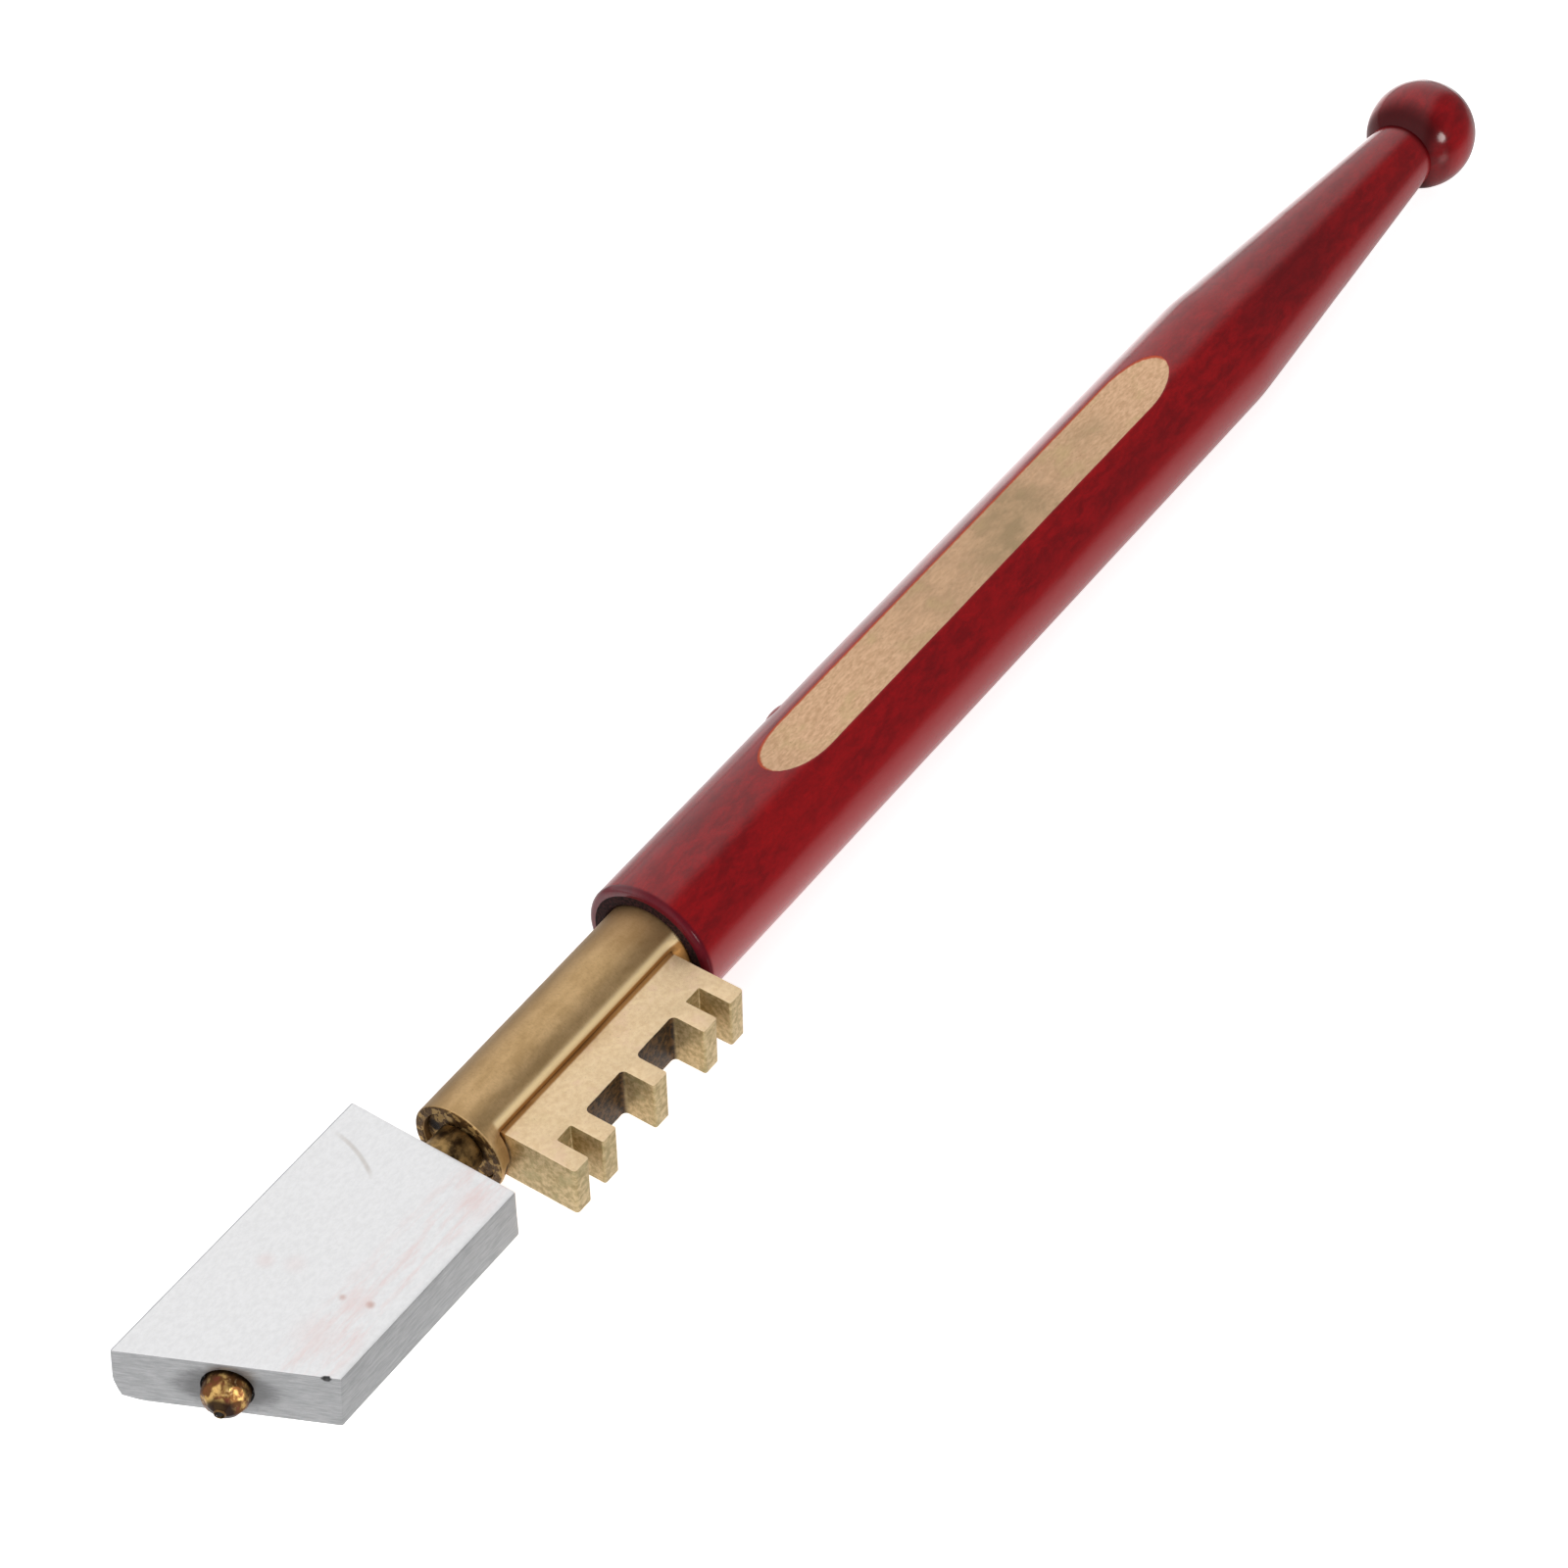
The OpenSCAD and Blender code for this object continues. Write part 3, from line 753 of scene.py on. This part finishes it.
def handle_material(centre, normal):
    """Index of a face's material: 0 lacquer, 1 bare wood, 2 end grain in painted shade."""
    if centre.x < FRONT_X + 0.02 + TANG_DEPTH and math.hypot(centre.y, centre.z) < DARK_END_R:
        return 2
    in_cut = FLAT_FROM < centre.x < FLAT_TO
    up = centre.y * math.sin(FLAT_TURN) + centre.z * math.cos(FLAT_TURN)
    return int(in_cut and up > 0 and abs(up - flat_distance(centre.x)) < 0.004 and normal.z > 0.9)


def build_handle():
    """The turned wood: bore, front edge, dowel with its flat, taper and ball in one closed mesh."""
    near_ends = (0, 0.02, 0.08, 0.18, 0.32)
    extra = [FLAT_FROM + d for d in near_ends] + [FLAT_TO - d for d in near_ends]
    profile = merge_stations(handle_profile(), extra)
    points = []
    for x, r in profile:
        points += handle_ring(x, r)
    count = FLAT_SEGMENTS + ROUND_SEGMENTS
    faces = ring_faces(len(profile), count)
    for first in (0, (len(profile) - 1) * count):
        faces.append(tuple(first + j for j in range(count)))
    materials = [LACQUER, BARE_WOOD, END_GRAIN_PAINTED_SHADE]
    return add_mesh("lacquered_handle", points, faces, materials, "handle", ["handle"],
                    face_slots=handle_material)


def build_brad():
    """The locking pin's head, a low lacquered bump beside the flat."""
    out = Vector((0, math.sin(BRAD_TURN), math.cos(BRAD_TURN)))
    side = Vector((0, math.cos(BRAD_TURN), -math.sin(BRAD_TURN)))
    middle = Vector((BRAD_X, 0, 0))
    segments, rings = 32, 12
    points = []
    for i in range(rings + 1):
        r = BRAD_R * i / rings
        skirt = BRAD_SKIRT if i == rings else 0
        for j in range(segments):
            a = 2 * math.pi * j / segments
            across = r * math.sin(a)
            surface = math.sqrt(DOWEL_R ** 2 - across ** 2)
            dome = BRAD_RISE * (1 - (r / BRAD_R) ** 2) - skirt - BRAD_SINK
            points.append(middle + Vector((r * math.cos(a), 0, 0)) + side * across + out * (surface + dome))
    faces = ring_faces(rings + 1, segments) + [tuple(rings * segments + j for j in range(segments))]
    return add_mesh("brad_head", points, faces, [LACQUER], "handle", ["tang_pin"])


# ---- stem, bush and plate

def cutter_from(points, faces=()):
    """A closed cutter from its faces, or the hull of its points where there are no faces."""
    mesh = new_mesh("cutter", points, faces)
    bm = bmesh.new()
    bm.from_mesh(mesh)
    if not faces:
        bmesh.ops.convex_hull(bm, input=bm.verts)
    bmesh.ops.recalc_face_normals(bm, faces=bm.faces)
    bm.to_mesh(mesh)
    bm.free()
    return new_object("cutter", mesh)


def apply_cut(piece, cutter):
    """Applies an exact boolean difference and removes the cutter."""
    modifier = piece.modifiers.new("cut", "BOOLEAN")
    modifier.operation = "DIFFERENCE"
    modifier.solver = "EXACT"
    modifier.object = cutter
    graph = bpy.context.evaluated_depsgraph_get()
    cut = bpy.data.meshes.new_from_object(piece.evaluated_get(graph))
    piece.modifiers.clear()
    piece.data = cut
    bpy.data.objects.remove(cutter)


def rectangle_cut(piece, low, high):
    """Cuts a box out of a piece."""
    corners = [Vector((x, y, z)) for x in (low[0], high[0]) for y in (low[1], high[1])
               for z in (low[2], high[2])]
    faces = [(0, 1, 3, 2), (4, 6, 7, 5), (0, 4, 5, 1), (2, 3, 7, 6), (0, 2, 6, 4), (1, 5, 7, 3)]
    apply_cut(piece, cutter_from(corners, faces))


def lip_drop(p):
    """How far the stem's surface has rolled in beside the slot."""
    turn = min(math.atan2(-p.y, abs(p.z)), LIP_TO)
    run = max(0, turn - LIP_FROM) * STEM_R
    from_ends = min(p.x - STEM_END_X - 0.5, FRONT_X - 0.3 - p.x)
    share = max(0, min(1, from_ends / LIP_RUN_OUT))
    return share * LIP_BEND * run ** 2


def build_stem():
    """The tube: chamfered end, a slightly uneven wall, and a slot for the plate."""
    outer = [(STEM_END_X, STEM_R - STEM_LEAD), (STEM_END_X + STEM_LEAD, STEM_R)]
    outer += [(x, STEM_R) for x in steps(STEM_END_X + 0.4, STEM_SHOWN_TO, 0.5)]
    inner = [(x, STEM_BORE_R) for x in reversed(steps(STEM_END_X + 0.1, STEM_SHOWN_TO, 1))]
    profile = outer + [(STEM_SHOWN_TO, STEM_R), (STEM_SHOWN_TO, STEM_BORE_R)] + inner
    profile += [(STEM_END_X, STEM_BORE_R + 0.1), (STEM_END_X, STEM_R - STEM_LEAD)]

    def dented(p):
        if math.hypot(p.y, p.z) < STEM_R - 0.01:
            return p
        k = 1 + (0.008 * (wave(p, 2.5, 3) - 1) - lip_drop(p)) / STEM_R
        return Vector((p.x, p.y * k, p.z * k))

    points, faces = lathe(profile, 160, dented)
    piece = add_mesh("brass_stem", points, faces, [STEM_BRASS], "handle", ["stem_tube"])
    half = PLATE_HIGH.z + LIP_GAP
    rectangle_cut(piece, (PLATE_LOW.x - SLOT_GAP, -STEM_R - 1, -half), (PLATE_HIGH.x + SLOT_GAP, 0, half))
    return piece


def build_bush():
    """The bush in the stem's mouth, with a pitted face."""
    back_x, rim_r = BUSH_X + BUSH_SHOWN, BUSH_R - BUSH_LEAD
    profile = [(back_x, BUSH_HOLE_R), (BUSH_X, BUSH_HOLE_R)]
    profile += [(BUSH_X, r) for r in steps(BUSH_HOLE_R + 0.15, rim_r, 0.12)]
    profile += [(BUSH_X, rim_r), (BUSH_X + BUSH_LEAD, BUSH_R), (back_x, BUSH_R), (back_x, BUSH_HOLE_R)]

    def pitted(p):
        if p.x < BUSH_X + 0.05 and 1.7 < math.hypot(p.y, p.z) < BUSH_R - 0.1:
            return Vector((p.x + 0.16 * max(0, wave(p, 0.9, 1)) + 0.05 * wave(p, 0.35, 2), p.y, p.z))
        return p

    points, faces = lathe(profile, 96, pitted)
    return add_mesh("bronze_bush", points, faces, [BRONZE], "handle", ["swivel_bush"])


def plate_outline():
    """Corners of the plate as (x, y, radius), from the root at the handle's end."""
    root, tip = PLATE_HIGH.y, PLATE_LOW.y
    corners = [(PLATE_HIGH.x, root, ROOT_R), (PLATE_LOW.x, root, ROOT_R), (PLATE_LOW.x, tip, TIP_R)]
    for start, width in NOTCHES:
        floor_r = WIDE_FLOOR_R if width == WIDE else NARROW_FLOOR_R
        x0, x1, y = PLATE_LOW.x + start, PLATE_LOW.x + start + width, tip + NOTCH_DEPTH
        corners += [(x0, tip, TOOTH_R), (x0, y, floor_r), (x1, y, floor_r), (x1, tip, TOOTH_R)]
    return corners + [(PLATE_HIGH.x, tip, TIP_R)]


def rounded_outline(corners):
    """Points along an outline of (x, y, radius) corners, each rounded by an arc of six points."""
    points = []
    for i, (x, y, r) in enumerate(corners):
        following = corners[(i + 1) % len(corners)]
        here, after_here = Vector((x, y)), Vector(following[:2])
        before = (Vector(corners[i - 1][:2]) - here).normalized()
        after = (after_here - here).normalized()
        half = before.angle(after) / 2
        back = r / math.tan(half)
        centre = here + (before + after).normalized() * (r / math.sin(half))
        start, end = here + before * back, here + after * back
        a0 = math.atan2(*(start - centre).yx)
        turn = (math.atan2(*(end - centre).yx) - a0 + math.pi) % (2 * math.pi) - math.pi
        for k in range(6):
            a = a0 + turn * k / 5
            points.append(centre + Vector((math.cos(a), math.sin(a))) * r)
        reach = (after_here - end).length - following[2]
        for d in steps(0, reach, 0.3)[1:]:
            points.append(end + after * d)
    return points


def slab(name, outline, low_z, high_z, lead, shape):
    """A mesh of an outline between two heights, its edges rounded by lead, each point then shaped."""
    bm = bmesh.new()
    face = bm.faces.new([bm.verts.new((p[0] * MM, p[1] * MM, low_z * MM)) for p in outline])
    up = bmesh.ops.extrude_face_region(bm, geom=[face])
    for v in [g for g in up["geom"] if isinstance(g, bmesh.types.BMVert)]:
        v.co.z = high_z * MM
    bmesh.ops.recalc_face_normals(bm, faces=bm.faces)
    rims = [e for e in bm.edges if abs(e.verts[0].co.z - e.verts[1].co.z) < 1e-9]
    bmesh.ops.bevel(
        bm, geom=rims, offset=lead * MM, segments=3, profile=0.5, affect="EDGES", clamp_overlap=True)
    for v in bm.verts:
        v.co = shape(v.co / MM) * MM
    mesh = bpy.data.meshes.new(name)
    bm.to_mesh(mesh)
    bm.free()
    return mesh


def build_plate():
    """The breaker plate, its edges worn and its notches rounded."""
    def worn(p):
        inward = 0.03 * (wave(p, 1.6, 4) - 1)
        return Vector((p.x + 0.02 * wave(p, 1.4, 6), min(p.y - inward, PLATE_HIGH.y), p.z))

    name = "notched_plate"
    mesh = slab(name, rounded_outline(plate_outline()), PLATE_LOW.z, PLATE_HIGH.z, PLATE_LEAD, worn)
    return finish_mesh(name, mesh, [PLATE_BRASS], "handle", ["breaker_plate"], 35)


# ---- head

def build_pin():
    """The pin's collar between the block and the bush, and its shank in the bush."""
    block_x = BLOCK_HIGH.x
    end_x = block_x + COLLAR_LONG
    profile = [(block_x, 0), (block_x, COLLAR_R), (end_x - COLLAR_LEAD, COLLAR_R)]
    profile += [(end_x, COLLAR_R - COLLAR_LEAD), (end_x, PIN_R), (PIN_HIGH.x, PIN_R), (PIN_HIGH.x, 0)]
    points, faces = lathe(profile, 72)
    return add_mesh("pin_collar", points, faces, [PIN_BRASS], "head", ["swivel_pin"])


def graded(length, step, fine=0.22, margin=1.3):
    """Stations from 0 to length, step apart and closer together near both ends."""
    near = steps(0, margin, fine)
    far = [length - d for d in [margin] + near[:0:-1]] + [length]
    return near + steps(margin, length - margin, step) + far


def block_planes():
    """Outward normals and offsets of the block's six faces."""
    lean = SAW_LEAN / (BLOCK_HIGH.z - BLOCK_LOW.z)
    slant = Vector((FACE_NORMAL.x, FACE_NORMAL.y, FACE_NORMAL.x * -lean)).normalized()
    on_top = Vector((FACE_MIDDLE.x, FACE_MIDDLE.y, BLOCK_HIGH.z))
    planes = [(Vector((1, 0, 0)), BLOCK_HIGH.x), (slant, slant.dot(on_top))]
    for axis, unit in ((1, Vector((0, 1, 0))), (2, Vector((0, 0, 1)))):
        planes.append((unit, BLOCK_HIGH[axis]))
        planes.append((-unit, -BLOCK_LOW[axis]))
    return planes


def rounded_block(p, planes, radius):
    """Moves a point of the sharp block to the same block with its edges rounded by radius."""
    over = [(n, n.dot(p) - d + radius) for n, d in planes]
    over = [(n, e) for n, e in over if e > 1e-9]
    normals = np.array([n for n, _ in over])
    amounts = np.linalg.solve(normals @ normals.T, np.array([e for _, e in over]))
    core = Vector(np.array(p) - normals.T @ amounts)
    return core + (p - core).normalized() * radius


def shell_quads(sizes):
    """The quads on the outside of a box of sizes cells, as four corner cells each."""
    for axis in range(3):
        a, b = [n for n in range(3) if n != axis]
        for side in (0, sizes[axis]):
            for i in range(sizes[a]):
                for j in range(sizes[b]):
                    quad = []
                    for di, dj in ((0, 0), (1, 0), (1, 1), (0, 1)):
                        cell = [side, side, side]
                        cell[a], cell[b] = i + di, j + dj
                        quad.append(tuple(cell))
                    yield quad


def build_block():
    """The sawn bar: square at the back, slanted at the front, with one battered corner."""
    planes = block_planes()
    slant, offset = planes[1]
    along = graded(1, 0.018, 0.008, 0.05)
    across = graded(BLOCK_HIGH.y - BLOCK_LOW.y, 0.5)
    upward = graded(BLOCK_HIGH.z - BLOCK_LOW.z, 0.5)
    battered_at = Vector((BLOCK_LOW.x, BLOCK_HIGH.y, BLOCK_LOW.z))
    points, index = [], {}

    def vertex(cell):
        """Index of the point at a cell's corner, made when it is first asked for."""
        if cell not in index:
            i, j, k = cell
            y, z = BLOCK_LOW.y + across[j], BLOCK_LOW.z + upward[k]
            front = (offset - slant.y * y - slant.z * z) / slant.x
            p = Vector((BLOCK_HIGH.x + (front - BLOCK_HIGH.x) * along[i], y, z))
            near = max(0, 1 - (p - battered_at).length / BATTERED_REACH)
            radius = EDGE_R + BATTERED_R * near ** 1.3 + EDGE_WEAR * (1 + wave(p, 1.7, 8))
            index[cell] = len(points)
            points.append(rounded_block(p, planes, radius))
        return index[cell]

    sizes = (len(along) - 1, len(across) - 1, len(upward) - 1)
    faces = [tuple(vertex(cell) for cell in quad) for quad in shell_quads(sizes)]
    piece = add_mesh("aluminium_block", points, faces, [ALUMINIUM], "head", ["head_block"],
                     40)
    cut_seat(piece)
    bite = [NICK + FACE_ALONG * a + FACE_NORMAL * b + Vector((0, 0, c)) for a, b, c in NICK_BITE]
    apply_cut(piece, cutter_from(bite))
    return piece


def cut_seat(piece):
    """The shallow counterbore that the brass holder sits in."""
    count, r = 64, HOLDER_R + SEAT_GAP
    points, faces = lathe([(-SEAT_DEPTH, r), (1, r)], count)
    faces += [tuple(range(count)), tuple(range(count, 2 * count))]
    apply_cut(piece, cutter_from([on_face(p) for p in points], faces))


def on_face(p):
    """From holder coordinates, with x out along the slanted face's normal, to the frame."""
    return FACE_MIDDLE + FACE_NORMAL * p.x + FACE_ALONG * p.y + Vector((0, 0, p.z))


def nose_radius(t):
    """The nose's radius from the holder's rim, at t of 0, to its tip, at 1."""
    return HOLDER_R - (HOLDER_R - HOLDER_TIP_R) * t * t


def hammered_planes():
    """Outward normals and offsets of the flats hammered into the nose."""
    rng = np.random.default_rng(7)
    nose = HOLDER_REACH - HOLDER_RIM
    planes = []
    for i in range(HAMMERED_FLATS):
        turn = 2 * math.pi * (i + 0.5 * rng.random()) / HAMMERED_FLATS
        t = 0.15 + 0.65 * rng.random()
        tilt = math.atan2(2 * (HOLDER_R - HOLDER_TIP_R) * t, nose)
        radial = Vector((0, math.sin(turn), math.cos(turn)))
        n = (radial * math.cos(tilt) + Vector((math.sin(tilt), 0, 0))).normalized()
        touch = radial * nose_radius(t) + Vector((HOLDER_RIM + t * nose, 0, 0))
        planes.append((n, n.dot(touch) - 0.07 - 0.06 * rng.random()))
    return planes


def build_holder():
    """The brass nose that grips the diamond, hammered to uneven flats."""
    nose = HOLDER_REACH - HOLDER_RIM
    profile = [(-SEAT_DEPTH, 0), (-SEAT_DEPTH, HOLDER_R)]
    profile += [(x, HOLDER_R) for x in steps(-SEAT_DEPTH + 0.1, HOLDER_RIM, 0.1)]
    profile += [(HOLDER_RIM + t * nose, nose_radius(t)) for t in np.linspace(0, 1, 30)]
    profile += [(HOLDER_REACH, HOLDER_MOUTH_R), (HOLDER_REACH, 0)]
    planes = hammered_planes()

    def hammered(p):
        for n, d in planes:
            p = p - n * max(0, n.dot(p) - d)
        return p

    points, faces = lathe(profile, 120, hammered)
    return add_mesh("brass_holder", [on_face(p) for p in points], faces, [HOLDER_BRASS], "head",
                    ["diamond_holder"], 12)


# ---- stage, light and camera

FLOOR_HALF = 6000
FLOOR_GAP = 0.05  # between the floor and the tool
SHEET_SHAPE = (0.21, 1, 0)  # how much each axis counts in the distance from the tool
SHEET_EDGE = (5, 50)  # distances from the tool over which the sheet darkens
SHEET_GLOW = (0.28, 0.62)  # at the ball's end and at the head's end
POOL_MIDDLE = (80, 30, HANDLE_LOW.z)
POOL_GLOW, SEEN_GLOW = 1.3, 0.74


def floor_material():
    """Even white to the camera; to the tool, a pale sheet in a darker room with a pool of light."""
    s = Shader("floor", Specular_IOR_Level=0.5)
    gap = s.vector("LENGTH", s.vector("MULTIPLY", s.place, SHEET_SHAPE))
    near = s.step(gap, *SHEET_EDGE, 1, 0)
    seen = s.tree.nodes.new("ShaderNodeLightPath").outputs["Is Camera Ray"]
    white = s.mix(s.noise(900, 2), (0.78, 0.78, 0.78), (0.8, 0.8, 0.8))
    s.surface.inputs["Emission Color"].default_value = (1, 1, 1, 1)
    sheet = s.times(near, s.step(s.axis("X"), 10, -50, *SHEET_GLOW))
    pool = s.times(s.spot(POOL_MIDDLE, 30, 85), s.step(s.axis("Y"), 2, 10))
    glow = s.plus(sheet, s.times(pool, POOL_GLOW))
    glow = s.times(glow, s.minus(1, seen))
    glow = s.plus(glow, s.times(seen, SEEN_GLOW))
    s.link(glow, s.surface.inputs["Emission Strength"])
    return s.finish(s.mix(s.math("MAXIMUM", near, seen), (0.2, 0.2, 0.2), white), 0.2)


def build_stage():
    """A plain floor that the tool lies on."""
    z = HANDLE_LOW.z - FLOOR_GAP
    corners = [(x * FLOOR_HALF, y * FLOOR_HALF, z) for x, y in ((-1, -1), (1, -1), (1, 1), (-1, 1))]
    mesh = new_mesh("floor", corners, [(0, 1, 2, 3)])
    mesh.materials.append(floor_material())
    floor = new_object("floor", mesh)


# The key light: the direction it comes from, its distance and width in metres, and its strength
KEY_TOWARDS = Vector((-0.147, -0.908, 0.393))
KEY_DISTANCE, KEY_SIZE, KEY_RADIANCE = 0.9, 0.29, 13


def build_key_light():
    """A round soft light on the -Y side, aimed at the tool."""
    data = bpy.data.lights.new("side_key", "AREA")
    data.shape = "DISK"
    data.size = KEY_SIZE
    data.energy = KEY_RADIANCE * math.pi * math.pi * KEY_SIZE ** 2 / 4
    data.color = (1, 0.98, 0.95)
    light = new_object("side_key", data)
    light.location = KEY_TOWARDS.normalized() * KEY_DISTANCE
    light.rotation_mode = "QUATERNION"
    light.rotation_quaternion = KEY_TOWARDS.to_track_quat("Z", "Y")


WALL_LEVEL, ROOM_LEVEL, BEHIND_LEVEL = 0.9, 0.15, 0.58


def build_world():
    """A white wall on the +Y side, a dim room on the -Y side and soft light from behind the camera."""
    world = bpy.data.worlds.new("studio")
    world.use_nodes = True
    n = Nodes(world.node_tree)
    background = n.tree.nodes["Background"]
    towards_wall = n.vector("DOT_PRODUCT", n.place, (-0.35, 1, 0))
    wall = n.step(towards_wall, -0.41, -0.05, ROOM_LEVEL, WALL_LEVEL)
    behind = n.step(n.axis("X"), -0.85, -0.05, BEHIND_LEVEL, 0)
    n.link(n.plus(wall, behind), background.inputs["Strength"])
    background.inputs["Color"].default_value = (0.98, 0.985, 1, 1)
    bpy.context.scene.world = world


# The camera that the photo was solved for, in millimetres
CAMERA_AT = Vector((-228.98, -144.49, 261.06))
CAMERA_TOWARDS = Vector((0.56739, 0.40169, -0.71883))
CAMERA_UP = Vector((0.59616, 0.4018, 0.69509))
CAMERA_LENS = 100.8


def build_camera():
    """The camera at the photo's angle."""
    data = bpy.data.cameras.new("camera")
    data.sensor_width = 36
    data.lens = CAMERA_LENS
    data.clip_start, data.clip_end = 0.01, 20
    camera = new_object("camera", data)
    camera.location = CAMERA_AT * MM
    back = -CAMERA_TOWARDS.normalized()
    right = CAMERA_UP.cross(back).normalized()
    up = back.cross(right)
    camera.rotation_mode = "QUATERNION"
    camera.rotation_quaternion = Matrix((right, up, back)).transposed().to_quaternion()
    bpy.context.scene.camera = camera


build_camera()
build_stage()
build_key_light()
build_world()
bpy.context.scene.view_settings.view_transform = "Standard"
build_handle()
build_brad()
build_stem()
build_bush()
build_plate()
build_pin()
build_block()
build_holder()
for node, material in (("retaining_washer", STEEL), ("diamond", STONE), ("diamond_braze", BRONZE)):
    cad_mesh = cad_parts[node].data
    cad_mesh.materials.clear()
    cad_mesh.materials.append(material)
